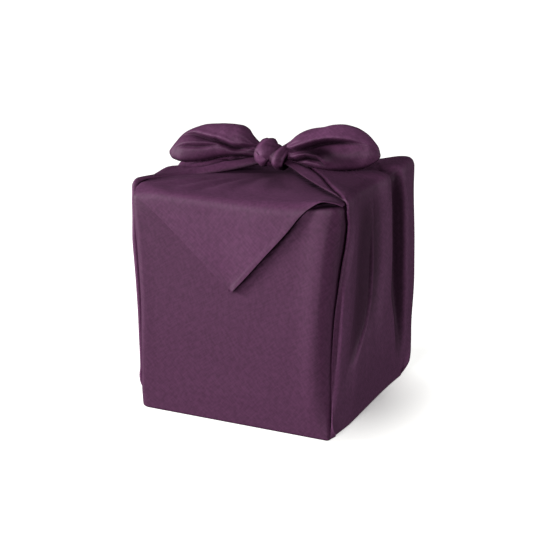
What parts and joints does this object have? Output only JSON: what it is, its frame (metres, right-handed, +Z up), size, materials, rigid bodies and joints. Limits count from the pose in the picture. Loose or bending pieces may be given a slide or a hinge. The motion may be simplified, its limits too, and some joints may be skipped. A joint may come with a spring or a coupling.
{
  "type": "furoshiki wrap",
  "caption": "Square cloth wrapped round a box, with a pointed flap in front, pleated sides and a knot with leaf-shaped ears on top.",
  "frame": {"origin": "middle of the flat base, at the height of the surface that the bundle stands on", "axes": "+X along the front towards its right side, +Y from the flapped front to the back, +Z up to the knot"},
  "size_m": [0.2307, 0.2131, 0.2812],
  "materials": {
    "wrapping_cloth": "plum plain weave, matt"
  },
  "bodies": {
    "root": {"wrapping_cloth": "wrapping_cloth"}
  },
  "joints": []
}
